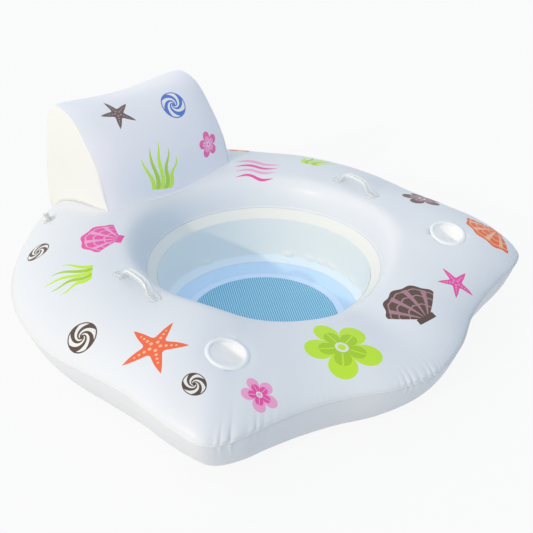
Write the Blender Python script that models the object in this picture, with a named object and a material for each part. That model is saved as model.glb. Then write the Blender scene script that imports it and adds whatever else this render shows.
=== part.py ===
"""Inflatable pool chair: a vinyl ring with two horns, a backrest, a mesh seat, cup holders and valves.

Every sheet is drawn as its outer skin and thickened towards the air inside. Lengths are in metres. +Y is
towards the backrest, +X to the right as seen from the front, and Z is up from the ground.
"""
import math

import bmesh
import bpy
from mathutils import Matrix, Vector

for item in list(bpy.data.objects):
    bpy.data.objects.remove(item, do_unlink=True)

# Sheet stock: vinyl, the air left between welded layers, and the width of a weld
vinyl = 0.0003
gap = 0.0003
weld = 0.006

# Ring: reach of its side from the middle of the seat, height of its crest at the rear, width on the ground
ring_reach = 0.54
ring_height = 0.234
ring_foot_width = 0.04
stations = 84

# Seat well: the upright wall, the slanting band over it, the sloping floor and the mesh
well_radius = 0.252
band_width = 0.0214
band_top_height = 0.1635
band_bottom_height = 0.145
floor_rim_height = 0.033
floor_weld = 0.019
floor_width = 0.047
mesh_weld_height = 0.0045
mesh_weld_width = 0.022
mesh_thickness = 0.0006

# Backrest: its width, its back's inset from the ring's weld, its depth, its rise and how far it swells
backrest_width = 0.39
backrest_inset = 0.033
backrest_depth = 0.285
backrest_rise = 0.215
backrest_crown = 0.022
gusset_bulge = 0.016

# Cup holders
cup_radius = 0.037
cup_depth = 0.10
cup_wall = 0.0005
cup_rim_width = 0.010
cup_rim_thickness = 0.0008
cup_segments = 28

# Handles
handle_length = 0.150
handle_width = 0.032
handle_rise = 0.030

# Valves: a flange, a stem that pushes in, a plug on a strap and a one-way flap
flange_radius = 0.017
flange_thickness = 0.0012
stem_radius = 0.006
stem_bore = 0.004
stem_rise = 0.0165
stem_depth = 0.008
collar_radius = 0.0075
collar_thickness = 0.002
plug_thickness = 0.002
plug_pin_length = 0.0028
plug_pin_clearance = 0.0004
plug_pin_taper = 0.0003
strap_width = 0.005
strap_thickness = 0.0012
knuckle_radius = 0.001
hinge_reach = 0.0098
pull_tab_length = 0.005
flap_thickness = 0.0008
flap_margin = 0.0015
valve_segments = 24
backrest_valve_height = 0.30
backrest_valve_stand = 0.0006

# Overrun of every cut past the faces that it cuts
overrun = 0.004

# Places on the ring: degrees from +X, and a share of the way from its crest out to its weld,
# or in to its lap when below 0
cup_angle = -37.8
cup_place_share = 0.234
handle_angle = 4.1
handle_place_share = -0.178
ring_valve_angle = 123
ring_valve_place_share = 0.72

# Form of the ring: degrees from +X, negative forward, and there the reach as a share of ring_reach and the
# crest's height as a share of ring_height. The narrow front stands lower than the horns and the rear.
outline_shares = (
    (-90, 0.944, 0.753), (-78, 0.928, 0.785), (-66, 0.903, 0.822), (-56, 0.935, 0.852),
    (-48, 1.008, 0.886), (-42, 1.097, 0.925), (-37, 1.148, 0.963), (-32, 1.112, 0.990),
    (-26, 1.060, 1.007), (-18, 1.004, 1.004), (-6, 0.989, 0.990), (10, 1.034, 0.995),
    (30, 1.077, 1.018), (50, 1.104, 1.028), (70, 1.175, 1.018), (90, 1.225, 1.000),
)

# Side view of the backrest from below its front to below its back: depth, height over the crest, and swell
backrest_profile_shares = (
    (-0.020, -0.40, 0.0), (-0.012, -0.12, 0.2), (0.000, 0.056, 0.3), (0.088, 0.414, 0.6),
    (0.256, 0.716, 0.6), (0.435, 0.944, -0.1), (0.695, 1.000, -1.0), (0.830, 0.950, -0.8),
    (0.909, 0.637, 0.3), (0.940, 0.367, 0.8), (0.982, -0.050, 1.1), (1.000, -0.380, 1.2),
    (0.930, -0.620, 1.0),
)
backrest_rows = 22
# Columns of the backrest as shares of its half width, closer at the seams where the sheet rolls over
backrest_column_shares = (-1, -0.94, -0.82, -0.6, -0.3, 0, 0.3, 0.6, 0.82, 0.94, 1)
backrest_roll_share = 0.35
# Rings of a gusset from its seam towards its middle, and steps along its foot
gusset_ring_shares = (1, 0.9, 0.68, 0.34, 0.1)
gusset_base_steps = 5

# Handle from end to middle: along the half length, underside, top, half width and ridge height
handle_profile_shares = (
    (1.00, -0.30, 0.04, 0.50, 0.2), (0.93, -0.30, 0.12, 0.86, 0.2), (0.80, -0.30, 0.17, 1.00, 0.2),
    (0.68, -0.30, 0.24, 0.94, 0.3), (0.60, 0.00, 0.42, 0.80, 0.8), (0.52, 0.40, 0.68, 0.70, 1.0),
    (0.42, 0.68, 0.87, 0.66, 1.0), (0.26, 0.81, 0.97, 0.64, 1.0), (0.00, 0.86, 1.00, 0.64, 1.0),
)
handle_ridge_share = 0.08
# Cross-section of the handle: across the half width, and up its thickness with the ridge on top of it
handle_section_shares = (
    (-1.0, 0, 0), (-1.0, 1, 0), (-0.80, 1, 0.1), (-0.55, 1, 1), (-0.30, 1, 0.1),
    (0.30, 1, 0.1), (0.55, 1, 1), (0.80, 1, 0.1), (1.0, 1, 0), (1.0, 0, 0),
)

# Shape of the ring's section: the crest's place from well to weld, the weld's height, and how full it is
crest_share = 0.36
ring_seam_share = 0.61
outer_fullness = 0.63
inner_roundness = 6
under_roundness = 2.2
outer_steps = 5
inner_steps = 6
under_steps = 3

front_reach = ring_reach * outline_shares[0][1]
rear_reach = ring_reach * outline_shares[-1][1]

# The model is built round the middle of the seat, and this empty puts the middle of the chair at the origin
seat = bpy.data.objects.new("seat_centre", None)
seat.location.y = (front_reach - rear_reach) / 2
bpy.context.collection.objects.link(seat)


def material(name, colour, roughness, alpha=1.0):
    made = bpy.data.materials.new(name)
    made.use_nodes = True
    shader = made.node_tree.nodes["Principled BSDF"]
    shader.inputs["Base Color"].default_value = (*colour, 1.0)
    shader.inputs["Roughness"].default_value = roughness
    shader.inputs["Metallic"].default_value = 0.0
    shader.inputs["Alpha"].default_value = alpha
    return made


white_vinyl = material("white_vinyl", (0.86, 0.88, 0.92), 0.35)
cream_vinyl = material("cream_vinyl", (0.90, 0.90, 0.86), 0.40)
blue_vinyl = material("blue_vinyl", (0.56, 0.72, 0.93), 0.30)
lavender_vinyl = material("lavender_vinyl", (0.68, 0.76, 0.95), 0.35)
blue_mesh = material("blue_mesh", (0.18, 0.52, 0.82), 0.60)
clear_vinyl = material("clear_vinyl", (0.86, 0.89, 0.88), 0.18, 0.6)


def finish(name, mesh, look, parent=seat):
    """Names the mesh, gives it its material and smooth shading, and hangs it on its parent."""
    mesh.materials.append(look)
    mesh.shade_smooth()
    mesh.set_sharp_from_angle(angle=math.radians(35))
    piece = bpy.data.objects.new(name, mesh)
    piece.parent = parent
    bpy.context.collection.objects.link(piece)
    return piece


def tool(piece):
    """Marks a piece as a cutter, which isn't part of the chair."""
    piece.hide_render = True
    piece.display_type = "WIRE"
    return piece


def boolean(piece, other, operation, self_check=False):
    step = piece.modifiers.new(operation.lower(), "BOOLEAN")
    step.operation = operation
    step.solver = "EXACT"
    step.use_self = self_check
    step.object = other


def grid_mesh(name, rows, round_rows, round_columns, first_cap=True):
    """A mesh through a grid of points, joined end to end where a direction goes round, in triangles."""
    work = bmesh.new()
    points = [[work.verts.new(p) for p in row] for row in rows]
    row_count = len(rows)
    column_count = len(rows[0])
    for i in range(row_count if round_rows else row_count - 1):
        for j in range(column_count if round_columns else column_count - 1):
            k = (i + 1) % row_count
            m = (j + 1) % column_count
            work.faces.new((points[i][j], points[k][j], points[k][m], points[i][m]))
    if round_columns and not round_rows:
        work.faces.new(reversed(points[-1]))
        if first_cap:
            work.faces.new(points[0])
    bmesh.ops.triangulate(work, faces=work.faces[:])
    mesh = bpy.data.meshes.new(name)
    work.to_mesh(mesh)
    work.free()
    return mesh


def thicken(piece, thickness):
    step = piece.modifiers.new("thickness", "SOLIDIFY")
    step.thickness = thickness
    step.offset = -1
    step.use_even_offset = True


def mixed(a, b, share):
    return a + (b - a) * share


def smooth_through(knots, count):
    """Points along a smooth curve through the knots, which are tuples of numbers, at equal steps."""
    made = []
    last = len(knots) - 1
    for step in range(count):
        place = step * last / (count - 1)
        k = min(int(place), last - 1)
        t = place - k
        before = knots[max(k - 1, 0)]
        after = knots[min(k + 2, last)]
        point = []
        for p0, p1, p2, p3 in zip(before, knots[k], knots[k + 1], after):
            slope_1 = (p2 - p0) / 2
            slope_2 = (p3 - p1) / 2
            curve = p1 * (2 * t ** 3 - 3 * t ** 2 + 1) + slope_1 * (t ** 3 - 2 * t ** 2 + t)
            point.append(curve + p2 * (3 * t ** 2 - 2 * t ** 3) + slope_2 * (t ** 3 - t ** 2))
        made.append(tuple(point))
    return made


def outline_share(angle, column):
    """A share of the outline table at an angle from +X, on a smooth curve that is alike left and right."""
    degrees = math.degrees(math.atan2(math.sin(angle), abs(math.cos(angle))))
    knots = [(row[0], row[column]) for row in outline_shares]
    last = len(knots) - 1
    k = max(i for i in range(last) if degrees >= knots[i][0] or i == 0)

    def slope(i):
        if i in (0, last):
            return 0
        return (knots[i + 1][1] - knots[i - 1][1]) / (knots[i + 1][0] - knots[i - 1][0])

    width = knots[k + 1][0] - knots[k][0]
    t = (degrees - knots[k][0]) / width
    share = knots[k][1] * (2 * t ** 3 - 3 * t ** 2 + 1) + slope(k) * width * (t ** 3 - 2 * t ** 2 + t)
    return share + knots[k + 1][1] * (3 * t ** 2 - 2 * t ** 3) + slope(k + 1) * width * (t ** 3 - t ** 2)


def reach(angle):
    """Distance from the middle of the seat to the ring's outer weld."""
    return ring_reach * outline_share(angle, 1)


def crest_height(angle):
    return ring_height * outline_share(angle, 2)


def seam_height(angle):
    """Height of the outer weld."""
    return ring_seam_share * crest_height(angle)


# Welds of the well in its section. Each sheet that lies on another is lifted by a sheet and the gap.
layer = vinyl + gap
mesh_weld_radius = well_radius - floor_width
mesh_radius = mesh_weld_radius - mesh_weld_width
band_radius = well_radius + layer
band_slope = math.atan2(band_top_height - band_bottom_height, band_width)
cone_slope = math.atan2(floor_rim_height - mesh_weld_height, well_radius - mesh_weld_radius)
lip_radius = band_radius + band_width
lip_height = band_top_height + layer / math.cos(band_slope)
lap_radius = lip_radius + weld * math.cos(band_slope)
lap_height = lip_height + weld * math.sin(band_slope)


def crest_radius(angle):
    return mixed(well_radius, reach(angle), crest_share)


def ring_spot(degrees, share):
    """A place on the ring in plan, at a share of the way from its crest to its weld or its lap."""
    angle = math.radians(degrees)
    edge = reach(angle) if share > 0 else lap_radius
    radius = mixed(crest_radius(angle), edge, abs(share))
    return radius * math.cos(angle), radius * math.sin(angle)


def top_height(radius, angle):
    """Height of the top sheet at a distance from the middle of the seat."""
    crest = crest_radius(angle)
    high = crest_height(angle)
    if radius > crest:
        share = min((radius - crest) / (reach(angle) - crest), 1)
        return mixed(seam_height(angle) + layer, high, (1 - share ** 2) ** outer_fullness)
    share = min((crest - radius) / (crest - lap_radius), 1)
    return mixed(high, lap_height, share ** inner_roundness)


def offset_path(path, distance):
    """The path moved to its right by a distance, with mitred corners."""
    sides = []
    for (r0, z0), (r1, z1) in zip(path, path[1:]):
        length = math.hypot(r1 - r0, z1 - z0)
        sides.append(((z1 - z0) / length, (r0 - r1) / length))
    moved = []
    for k, (r, z) in enumerate(path):
        before = sides[max(k - 1, 0)]
        after = sides[min(k, len(sides) - 1)]
        step = distance / (1 + before[0] * after[0] + before[1] * after[1])
        moved.append((r + step * (before[0] + after[0]), z + step * (before[1] + after[1])))
    return moved


def top_path(angle):
    """Section of the top sheet from the outer weld over the crest to its lap on the band."""
    outer = reach(angle)
    crest = crest_radius(angle)
    foot = seam_height(angle) + gap / 2 + vinyl
    path = [(outer + weld, foot), (outer, foot)]
    for step in range(1, outer_steps):
        radius = mixed(crest, outer, math.cos(math.pi / 2 * step / outer_steps))
        path.append((radius, top_height(radius, angle)))
    for step in range(inner_steps + 1):
        radius = mixed(crest, lap_radius, math.sin(math.pi / 2 * step / inner_steps))
        path.append((radius, top_height(radius, angle)))
    path.append((lip_radius, lip_height))
    return path


def bottom_path(angle):
    """Section of the bottom sheet from its weld under the seat floor to the outer weld."""
    outer = reach(angle)
    middle = (well_radius + outer) / 2
    foot_inner = middle - ring_foot_width / 2
    foot_outer = middle + ring_foot_width / 2
    seam = seam_height(angle) - gap / 2 - vinyl
    drop = (layer + vinyl) / math.cos(cone_slope)
    inner = well_radius + weld
    inner_height = floor_rim_height + weld * math.tan(cone_slope) - drop
    flange = well_radius - floor_weld
    path = [(flange, floor_rim_height - floor_weld * math.tan(cone_slope) - drop), (inner, inner_height)]
    for step in range(1, under_steps + 1):
        share = 1 - step / under_steps
        path.append((mixed(foot_inner, inner, share), inner_height * share ** under_roundness))
    for step in range(under_steps + 1):
        turn = math.pi / 2 * step / under_steps
        rise = seam * (1 - math.cos(turn) ** (2 * outer_fullness))
        path.append((mixed(foot_outer, outer, math.sin(turn)), rise))
    path.append((outer + weld, seam))
    return path


def ring_grid(path_at):
    """The points of a section carried round the seat."""
    rows = []
    for k in range(stations):
        angle = 2 * math.pi * k / stations
        rows.append([Vector((r * math.cos(angle), r * math.sin(angle), z)) for r, z in path_at(angle)])
    return rows


def ring_sheet(name, path_at, look, thickness=vinyl):
    piece = finish(name, grid_mesh(name, ring_grid(path_at), True, False), look)
    thicken(piece, thickness)
    return piece


def ring_envelope(name, distance):
    """The ring's outer form swollen by a distance, as a cutter for what sits on it."""
    def closed(angle):
        path = offset_path(top_path(angle), distance)
        low = seam_height(angle) / 2
        return path + [(path[-1][0], low), (path[0][0], low)]
    return tool(finish(name, grid_mesh(name, ring_grid(closed), True, True), white_vinyl))


ring_skin = ring_envelope("cut_ring_skin", 0)
ring_seat = ring_envelope("cut_ring_seat", gap)
ring_over_rim = ring_envelope("cut_ring_over_rim", gap + cup_rim_thickness)
ring_over_flange = ring_envelope("cut_ring_over_flange", gap + flange_thickness)


def on_ring(x, y):
    """A frame on the ring's top sheet, with Z along the outward normal and X towards the horns."""
    step = weld

    def height(a, b):
        return top_height(math.hypot(a, b), math.atan2(b, a))

    slope_x = (height(x + step, y) - height(x - step, y)) / (2 * step)
    slope_y = (height(x, y + step) - height(x, y - step)) / (2 * step)
    up = Vector((-slope_x, -slope_y, 1)).normalized()
    along = (Vector((0, -1, 0)) + up * up.y).normalized()
    frame = Matrix((along, up.cross(along), up)).transposed().to_4x4()
    frame.translation = Vector((x, y, height(x, y)))
    return frame


def frame_at(name, frame):
    """An empty that carries the pieces of one fitting."""
    carrier = bpy.data.objects.new(name, None)
    carrier.parent = seat
    carrier.matrix_local = frame
    bpy.context.collection.objects.link(carrier)
    return carrier


def turned(name, profile, segments, look, parent):
    """A ring turned from a closed profile of radius and height, up its outer side and down its bore."""
    rows = []
    for k in range(segments):
        angle = 2 * math.pi * k / segments
        rows.append([Vector((r * math.cos(angle), r * math.sin(angle), z)) for r, z in profile])
    return finish(name, grid_mesh(name, rows, True, True), look, parent)


def rod(name, low, high, radius_low, radius_high, segments, look, parent):
    """A round bar or disc along Z."""
    work = bmesh.new()
    bmesh.ops.create_cone(
        work, cap_ends=True, segments=segments, radius1=radius_low, radius2=radius_high, depth=high - low,
        matrix=Matrix.Translation((0, 0, (low + high) / 2)),
    )
    mesh = bpy.data.meshes.new(name)
    work.to_mesh(mesh)
    work.free()
    return finish(name, mesh, look, parent)


def block(name, low, high, look, parent):
    """A box between two corners."""
    size = Vector(high) - Vector(low)
    middle = (Vector(high) + Vector(low)) / 2
    work = bmesh.new()
    bmesh.ops.create_cube(work, size=1, matrix=Matrix.Translation(middle) @ Matrix.Diagonal((*size, 1)))
    mesh = bpy.data.meshes.new(name)
    work.to_mesh(mesh)
    work.free()
    return finish(name, mesh, look, parent)


# Ring sheets
top_panel = ring_sheet("ring_top_panel", top_path, white_vinyl)
ring_sheet("ring_bottom_panel", bottom_path, white_vinyl)


# Seat well. The band hangs from the lap of the top sheet and turns down behind the wall.
def band_path(angle):
    return [
        (lap_radius, band_top_height + weld * math.sin(band_slope)),
        (band_radius, band_bottom_height),
        (band_radius, band_bottom_height - weld),
    ]


# The wall stands under the band, on the rim of the sloping floor.
def wall_path(angle):
    return [(well_radius, band_bottom_height - gap), (well_radius, floor_rim_height + gap)]


# The wall's foot is turned in over the floor. It is a node of its own, so its hulls leave the well open.
def foot_path(angle):
    lift = layer / math.cos(cone_slope)
    return [
        (radius, floor_rim_height - (well_radius - radius) * math.tan(cone_slope) + lift)
        for radius in (well_radius - gap, well_radius - floor_weld)
    ]


# The floor slopes down to a flat weld that carries the mesh.
def floor_path(angle):
    return [
        (well_radius, floor_rim_height),
        (mesh_weld_radius, mesh_weld_height),
        (mesh_radius, mesh_weld_height),
    ]


ring_sheet("seat_lip_band", band_path, cream_vinyl)
ring_sheet("seat_well_wall", wall_path, cream_vinyl)
ring_sheet("seat_well_foot", foot_path, cream_vinyl)
ring_sheet("seat_floor_ring", floor_path, blue_vinyl)

mesh_bottom = mesh_weld_height + gap
mesh_top = mesh_bottom + mesh_thickness
mesh_edge = mesh_weld_radius - weld / 2
rod("seat_mesh", mesh_bottom, mesh_top, mesh_edge, mesh_edge, stations, blue_mesh, seat)
turned(
    "mesh_weld_ring",
    (
        (mesh_edge, mesh_top + gap), (mesh_edge, mesh_top + gap + vinyl),
        (mesh_radius, mesh_top + gap + vinyl), (mesh_radius, mesh_top + gap),
    ),
    stations, lavender_vinyl, seat,
)


# Backrest
backrest_front = rear_reach - backrest_inset - backrest_depth


def backrest_point(row, share):
    """A point of the wrap from its row of the side view, at a share of the half width."""
    (depth, rise, swell), (side_y, side_z) = row
    roll = backrest_roll_share * (1 - share ** 6)
    out = backrest_crown * (swell * (1 - share ** 2) + roll)
    y = backrest_front + backrest_depth * depth + out * side_y
    z = ring_height + backrest_rise * rise + out * side_z
    return Vector((share * backrest_width / 2, y, z))


def backrest_side_rows():
    """Rows of the side view, each with the direction that points out of the backrest there."""
    rows = smooth_through(backrest_profile_shares, backrest_rows)
    flat = [(backrest_depth * d, backrest_rise * h) for d, h, _ in rows]
    made = []
    for k, row in enumerate(rows):
        y0, z0 = flat[max(k - 1, 0)]
        y1, z1 = flat[min(k + 1, len(flat) - 1)]
        length = math.hypot(y1 - y0, z1 - z0)
        made.append((row, ((z0 - z1) / length, (y1 - y0) / length)))
    return made


side_rows = backrest_side_rows()
wrap_grid = [[backrest_point(row, share) for row in side_rows] for share in backrest_column_shares]
wrap = finish("backrest_wrap_panel", grid_mesh("backrest_wrap_panel", wrap_grid, False, False), white_vinyl)
thicken(wrap, vinyl)
boolean(wrap, ring_seat, "DIFFERENCE")

for side, name in ((-1, "backrest_left_gusset"), (1, "backrest_right_gusset")):
    seam = [backrest_point(row, side) for row in side_rows]
    for step in range(1, gusset_base_steps):
        seam.append(seam[backrest_rows - 1].lerp(seam[0], step / gusset_base_steps))
    for point in seam:
        point.x += side * (gap + vinyl)
    middle = sum(seam, Vector()) / len(seam)
    rows = []
    for share in gusset_ring_shares:
        bulge = Vector((side * gusset_bulge * (1 - share ** 2), 0, 0))
        rows.append([middle.lerp(point, share) + bulge for point in seam[::-side]])
    gusset = finish(name, grid_mesh(name, rows, False, True, first_cap=False), cream_vinyl)
    thicken(gusset, vinyl)
    boolean(gusset, ring_seat, "DIFFERENCE")


# Cup holders: the sleeve hangs under a rim that lies on the top sheet
cup_x, cup_y = ring_spot(cup_angle, cup_place_share)
for side, word in ((-1, "left"), (1, "right")):
    cup = frame_at(word + "_cup", Matrix.Translation((side * cup_x, cup_y, 0)))
    mouth = top_height(math.hypot(cup_x, cup_y), math.atan2(cup_y, cup_x))
    foot = mouth - cup_depth
    outside = cup_radius + cup_wall
    sleeve = turned(
        word + "_cup_sleeve",
        ((outside, foot), (outside, mouth + overrun), (cup_radius, mouth + overrun), (cup_radius, foot)),
        cup_segments, cream_vinyl, cup,
    )
    boolean(sleeve, ring_skin, "INTERSECT")
    floor_top = foot - gap
    rod(
        word + "_cup_floor", floor_top - cup_wall, floor_top, outside, outside, cup_segments,
        cream_vinyl, cup,
    )
    rim_edge = cup_radius + cup_rim_width
    low = mouth - cup_radius
    high = mouth + cup_radius
    rim = turned(
        word + "_cup_rim",
        ((rim_edge, low), (rim_edge, high), (cup_radius, high), (cup_radius, low)),
        cup_segments, cream_vinyl, cup,
    )
    boolean(rim, ring_over_rim, "INTERSECT")
    boolean(rim, ring_seat, "DIFFERENCE")
    bore = outside + gap
    hole = rod("cut_" + word + "_cup", low, high, bore, bore, cup_segments, white_vinyl, cup)
    boolean(top_panel, tool(hole), "DIFFERENCE")


# Handles: one moulding each, two feet and a double-ridged grip between them
handle_x, handle_y = ring_spot(handle_angle, handle_place_share)
for side, word in ((-1, "left"), (1, "right")):
    carrier = frame_at(word + "_handle_frame", on_ring(side * handle_x, handle_y))
    halves = [(-along, *rest) for along, *rest in handle_profile_shares]
    halves += [row for row in reversed(handle_profile_shares[:-1])]
    rows = []
    for along, under, over, half, ridge in halves:
        row = []
        for across, up, crest in handle_section_shares:
            height = mixed(under, over, up) + crest * ridge * handle_ridge_share
            row.append(Vector((
                along * handle_length / 2, across * half * handle_width / 2, height * handle_rise,
            )))
        rows.append(row)
    handle = finish(word + "_handle", grid_mesh(word + "_handle", rows, False, True), clear_vinyl, carrier)
    boolean(handle, ring_seat, "DIFFERENCE", self_check=True)


def valve(word, frame, seat_cutter, top_cutter, panel):
    """The four pieces of a valve, drawn with Z out of the sheet and the plug's hinge towards +X."""
    carrier = frame_at(word + "_frame", frame)
    bore = stem_radius + gap
    # A flange on the ring is drawn too thick and cut to the ring's form
    low = -overrun if top_cutter else gap
    high = flange_thickness + overrun if top_cutter else gap + flange_thickness
    flange = turned(
        word + "_flange",
        ((flange_radius, low), (flange_radius, high), (bore, high), (bore, low)),
        valve_segments, clear_vinyl, carrier,
    )
    if top_cutter:
        boolean(flange, top_cutter, "INTERSECT")
        boolean(flange, seat_cutter, "DIFFERENCE")
    hole = rod(
        "cut_" + word, -flange_radius, flange_radius, bore, bore, valve_segments, white_vinyl, carrier,
    )
    boolean(panel, tool(hole), "DIFFERENCE")

    collar_foot = stem_rise - collar_thickness
    stem = turned(
        word + "_stem",
        (
            (stem_radius, -stem_depth), (stem_radius, collar_foot), (collar_radius, collar_foot),
            (collar_radius, stem_rise), (stem_bore, stem_rise), (stem_bore, -stem_depth),
        ),
        valve_segments, clear_vinyl, carrier,
    )
    ear_end = hinge_reach + knuckle_radius
    ear = block(
        "cut_" + word + "_ear",
        (stem_radius - (stem_radius - stem_bore) / 2, -strap_width / 2, collar_foot),
        (ear_end, strap_width / 2, stem_rise), clear_vinyl, carrier,
    )
    boolean(stem, tool(ear), "UNION")

    # The plug turns on the knuckle at the end of its strap
    hinge_height = stem_rise + gap + knuckle_radius
    hinge = frame_at(word + "_plug_hinge", frame @ Matrix.Translation((hinge_reach, 0, hinge_height)))
    low = -knuckle_radius
    pin_top = stem_bore - plug_pin_clearance
    plug_top = low + plug_thickness
    plug = rod(
        word + "_plug", low, plug_top, collar_radius, collar_radius, valve_segments, clear_vinyl, hinge,
    )
    pin = rod(
        "cut_" + word + "_pin", low - plug_pin_length, low + plug_thickness / 2,
        pin_top - plug_pin_taper, pin_top, valve_segments, clear_vinyl, hinge,
    )
    for disc in (plug, pin):
        disc.data.transform(Matrix.Translation((-hinge_reach, 0, 0)))
    strap = block(
        "cut_" + word + "_strap",
        (-hinge_reach, -strap_width / 2, low), (0, strap_width / 2, low + strap_thickness),
        clear_vinyl, hinge,
    )
    knuckle = rod(
        "cut_" + word + "_knuckle", -strap_width / 2, strap_width / 2,
        knuckle_radius, knuckle_radius, valve_segments // 2, clear_vinyl, hinge,
    )
    knuckle.data.transform(Matrix.Rotation(math.pi / 2, 4, "X"))
    tab = block(
        "cut_" + word + "_tab",
        (-hinge_reach - collar_radius - pull_tab_length, -strap_width / 2, plug_top - strap_thickness),
        (-hinge_reach, strap_width / 2, plug_top), clear_vinyl, hinge,
    )
    for part in (pin, strap, knuckle, tab):
        boolean(plug, tool(part), "UNION")

    # The flap covers the stem's inner end and swings inward
    flap_radius = stem_bore + flap_margin
    axis_height = -stem_depth - gap - flap_thickness / 2
    flap_hinge = frame_at(word + "_flap_hinge", frame @ Matrix.Translation((flap_radius, 0, axis_height)))
    flap = rod(
        word + "_flap", -flap_thickness / 2, flap_thickness / 2, flap_radius, flap_radius, valve_segments,
        clear_vinyl, flap_hinge,
    )
    flap.data.transform(Matrix.Translation((-flap_radius, 0, 0)))


valve_spot = ring_spot(ring_valve_angle, ring_valve_place_share)
valve("ring_valve", on_ring(*valve_spot), ring_seat, ring_over_flange, top_panel)

# The backrest's valve is in the middle of its back, where the sheet is nearly flat and upright
back_line = [backrest_point(row, 0) for row in side_rows[backrest_rows // 2:]]
above = [p for p in back_line if p.z >= backrest_valve_height][-1]
below = [p for p in back_line if p.z < backrest_valve_height][0]
spot = above.lerp(below, (above.z - backrest_valve_height) / (above.z - below.z))
down = (below - above).normalized()
facing = Vector((1, 0, 0)).cross(down)
back_frame = Matrix((down, facing.cross(down), facing)).transposed().to_4x4()
back_frame.translation = spot + facing * backrest_valve_stand
valve("backrest_valve", back_frame, None, None, wrap)
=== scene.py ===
"""Looks of the inflatable pool chair: milky printed vinyl with welds and puckers, a mesh seat, handles."""
import math

import bmesh
import bpy
import numpy as np
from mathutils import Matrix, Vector


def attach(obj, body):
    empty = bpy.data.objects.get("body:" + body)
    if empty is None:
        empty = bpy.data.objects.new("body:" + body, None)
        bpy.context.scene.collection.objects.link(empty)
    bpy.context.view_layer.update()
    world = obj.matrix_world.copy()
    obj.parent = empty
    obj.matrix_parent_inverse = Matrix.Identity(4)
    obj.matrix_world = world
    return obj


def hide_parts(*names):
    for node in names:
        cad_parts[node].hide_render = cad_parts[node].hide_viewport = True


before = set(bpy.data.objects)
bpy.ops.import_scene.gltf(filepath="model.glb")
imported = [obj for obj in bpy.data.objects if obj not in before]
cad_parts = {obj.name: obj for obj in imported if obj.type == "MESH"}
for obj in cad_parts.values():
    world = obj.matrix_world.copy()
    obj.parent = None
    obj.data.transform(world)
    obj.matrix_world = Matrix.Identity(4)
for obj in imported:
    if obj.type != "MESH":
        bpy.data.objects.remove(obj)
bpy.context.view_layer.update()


# Ring, top sheet. One piece of milky white vinyl 0.3 mm thick, printed and then welded to the bottom sheet
# round its outer edge and to the band of the seat well round its inner edge. The welds gather it into
# puckers, most of all in the notch between the two front horns, and the air fills it out.
seat_y = -0.07587
ring_reach = 0.54
ring_height = 0.234
seam_share, front_lift, horn_drop, crest_share = 0.61, 0.105, 0.055, 0.36
outer_fullness, inner_roundness = 0.63, 6
slack_height = 0.0008
cup_dip, dip_width = 0.0022, 0.016
well_radius = 0.252
band_height, band_width, band_rise = 0.145, 0.0214, 0.0185
lip_radius = 0.274
lap_radius, lap_height = 0.2785, 0.1682
flange = 0.0042
flange_drop = 0.45 * flange
vinyl = 0.0003
# Degrees from +X, and there the reach and the crest's height as shares of ring_reach and ring_height
outline_shares = np.array((
    (-90, 0.947, 0.753), (-78, 0.932, 0.785), (-66, 0.910, 0.822), (-56, 0.945, 0.852),
    (-48, 1.018, 0.886), (-42, 1.101, 0.925), (-37, 1.147, 0.963), (-32, 1.121, 0.990),
    (-26, 1.074, 1.007), (-18, 1.016, 1.004), (-6, 0.990, 0.990), (10, 1.023, 0.995),
    (30, 1.069, 1.018), (50, 1.104, 1.028), (70, 1.175, 1.018), (90, 1.225, 1.000),
))
cup_places = np.array(((-0.34667, -0.26890), (0.34667, -0.26890)))
cup_radius = 0.037
valve_place = np.array((-0.29652, 0.45660))
valve_hole = 0.009
# Each end of the backrest: its distance from the middle, the middle of its foot, and half of the foot's
# length. The ring sinks beside the left end and swells beside the right one
end_x, end_y, end_half = 0.195, 0.48, 0.06
end_sink, sink_width = 0.012, 0.065
end_swell, swell_width, swell_shift = 0.014, 0.11, 0.03
start = math.pi / 2
print_radius = 0.45
# The print's measure up the sheet is set to this on the weld's flange, where nothing is printed
flange_mark = 1.0
draws = np.random.default_rng(11)
# Where the outer weld gathers most: degrees from +X, how far to each side, and depth of the puckers
gathered = np.array((
    (262.5, 3, 0.0070), (269, 3, 0.0060), (220.5, 3, 0.0062), (226.5, 3, 0.0042), (319.5, 5, 0.0034),
    (240, 6, 0.0008), (292, 7, 0.0010), (148, 7, 0.0014), (32, 7, 0.0012), (188, 8, 0.0008),
))


def bell(distance, width, power=2):
    """1 at no distance, dying away smoothly over a width."""
    return np.exp(-(distance / width) ** power)


def latitude(angle):
    """Degrees from straight ahead, -90, over the side, 0, to straight behind, 90, alike left and right."""
    return np.degrees(np.arctan2(np.sin(angle), np.abs(np.cos(angle))))


def cubic(t, low, high, low_slope, high_slope):
    """A smooth cubic over a step, from one value and slope to another."""
    fall, rise = 2 * t ** 3 - 3 * t ** 2 + 1, 3 * t ** 2 - 2 * t ** 3
    return low * fall + high * rise + low_slope * (t ** 3 - 2 * t ** 2 + t) + high_slope * (t ** 3 - t ** 2)


def outline_share(angle, column):
    """A share of the outline at an angle: a smooth cubic through the knots."""
    degrees = latitude(angle)
    knot, value = outline_shares[:, 0], outline_shares[:, column]
    slope = np.zeros_like(value)
    slope[1:-1] = (value[2:] - value[:-2]) / (knot[2:] - knot[:-2])
    k = np.clip(np.searchsorted(knot, degrees, side="right") - 1, 0, len(knot) - 2)
    width = knot[k + 1] - knot[k]
    return cubic((degrees - knot[k]) / width, value[k], value[k + 1], slope[k] * width, slope[k + 1] * width)


def reach(angle):
    """Distance from the seat's middle to the outer weld."""
    return ring_reach * outline_share(angle, 1)


def crest_radius(angle):
    """Distance from the seat's middle to the highest line of the ring, a share of the way to the weld."""
    return well_radius + (reach(angle) - well_radius) * crest_share


def crest_height(angle):
    """Height of the ring's highest line."""
    return ring_height * outline_share(angle, 2)


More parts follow.
